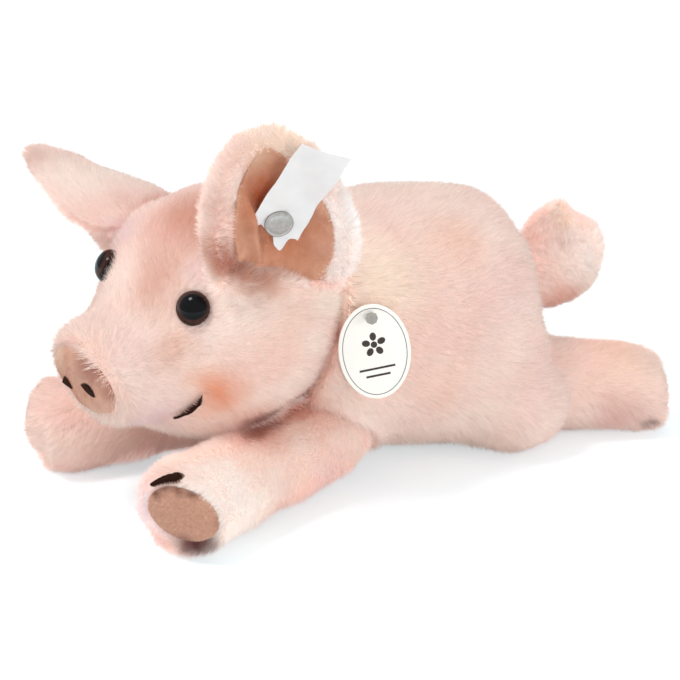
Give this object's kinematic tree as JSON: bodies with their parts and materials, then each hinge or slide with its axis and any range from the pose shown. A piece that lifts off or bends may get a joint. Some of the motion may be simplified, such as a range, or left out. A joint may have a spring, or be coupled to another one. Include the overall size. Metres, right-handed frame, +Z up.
{
  "type": "lying plush pig",
  "caption": "Soft stuffed pig lying on its belly with stretched-out legs, one upright and one drooping ear, a short snout, a curled tail, an ear label and a hang tag.",
  "frame": {"origin": "on the floor, in the middle of the flat that the belly rests on", "axes": "the snout points along -Y, +X is the pig's left side, +Z is up"},
  "size_m": [0.1402, 0.2236, 0.1397],
  "materials": {
    "plush": "short soft pile",
    "filling": "loose fibre",
    "canvas": "plain weave",
    "velour": "short velour",
    "lining": "short velour",
    "sole": "short velour",
    "dark": "embroidered",
    "thread": "stitched",
    "eye": "polished",
    "plastic": "moulded",
    "card": "smooth",
    "satin": "satin",
    "metal": "plain domed"
  },
  "bodies": {
    "torso": {"torso_cover": "plush", "torso_stuffing": "filling", "bean_bag": "canvas", "tag_pin": "plastic"},
    "head": {"head_cover": "plush", "head_stuffing": "filling", "nose_pad": "velour", "eye_left": "eye", "eye_right": "eye", "eye_washer_left": "plastic", "eye_washer_right": "plastic", "nostril_left": "dark", "nostril_right": "dark", "mouth_stitch_left": "thread", "mouth_stitch_right": "thread"},
    "left_ear": {"ear_left": "plush", "ear_lining_left": "lining", "ear_rivet": "metal", "rivet_washer": "metal"},
    "right_ear": {"ear_right": "plush", "ear_lining_right": "lining"},
    "label": {"ear_label": "satin"},
    "curl": {"tail": "plush"},
    "card": {"hang_tag": "card"},
    "left_front_leg": {"front_leg_left": "plush", "front_leg_left_stuffing": "filling", "front_sole_left": "sole", "front_cleft_left": "dark"},
    "right_front_leg": {"front_leg_right": "plush", "front_leg_right_stuffing": "filling", "front_sole_right": "sole", "front_cleft_right": "dark"},
    "left_hind_leg": {"hind_leg_left": "plush", "hind_leg_left_stuffing": "filling", "hind_sole_left": "sole", "hind_cleft_left": "dark"},
    "right_hind_leg": {"hind_leg_right": "plush", "hind_leg_right_stuffing": "filling", "hind_sole_right": "sole", "hind_cleft_right": "dark"}
  },
  "joints": [
    {"name": "head_turn", "type": "hinge", "parent": "torso", "child": "head", "pos_m": [0, -0.099, 0.067], "axis": [0, 0, 1], "range_deg": [-8, 8], "stiffness_Nm_per_rad": 0.12},
    {"name": "left_ear_flap", "type": "hinge", "parent": "head", "child": "left_ear", "pos_m": [0.0355, -0.0925, 0.0905], "axis": [0.3452, 0.9185, 0.1927], "range_deg": [-15, 25], "stiffness_Nm_per_rad": 0.02},
    {"name": "right_ear_flap", "type": "hinge", "parent": "head", "child": "right_ear", "pos_m": [-0.0345, -0.1045, 0.092], "axis": [0.494, -0.8427, 0.2141], "range_deg": [-15, 25], "stiffness_Nm_per_rad": 0.02},
    {"name": "label_turn", "type": "hinge", "parent": "left_ear", "child": "label", "pos_m": [0.04143, -0.09754, 0.10883], "axis": [0.9332, -0.314, -0.1748], "range_deg": [-10, 10]},
    {"name": "left_front_leg_spread", "type": "hinge", "parent": "torso", "child": "left_front_leg", "pos_m": [0.023, -0.069, 0.019], "axis": [0, 0, 1], "range_deg": [0, 20], "stiffness_Nm_per_rad": 0.05},
    {"name": "right_front_leg_spread", "type": "hinge", "parent": "torso", "child": "right_front_leg", "pos_m": [-0.0215, -0.075, 0.019], "axis": [0, 0, -1], "range_deg": [0, 20], "stiffness_Nm_per_rad": 0.05},
    {"name": "left_hind_leg_spread", "type": "hinge", "parent": "torso", "child": "left_hind_leg", "pos_m": [0.022, 0.012, 0.02], "axis": [0, 0, -1], "range_deg": [-12, 18], "stiffness_Nm_per_rad": 0.05},
    {"name": "right_hind_leg_spread", "type": "hinge", "parent": "torso", "child": "right_hind_leg", "pos_m": [-0.022, 0.012, 0.02], "axis": [0, 0, 1], "range_deg": [-12, 18], "stiffness_Nm_per_rad": 0.05},
    {"name": "tail_wag", "type": "hinge", "parent": "torso", "child": "curl", "pos_m": [0, 0.019, 0.0475], "axis": [0, 0, 1], "range_deg": [-20, 20], "stiffness_Nm_per_rad": 0.01},
    {"name": "card_lift", "type": "hinge", "parent": "torso", "child": "card", "pos_m": [0.04172, -0.06285, 0.06871], "axis": [-0.3184, -0.948, 0], "range_deg": [0, 40]}
  ]
}
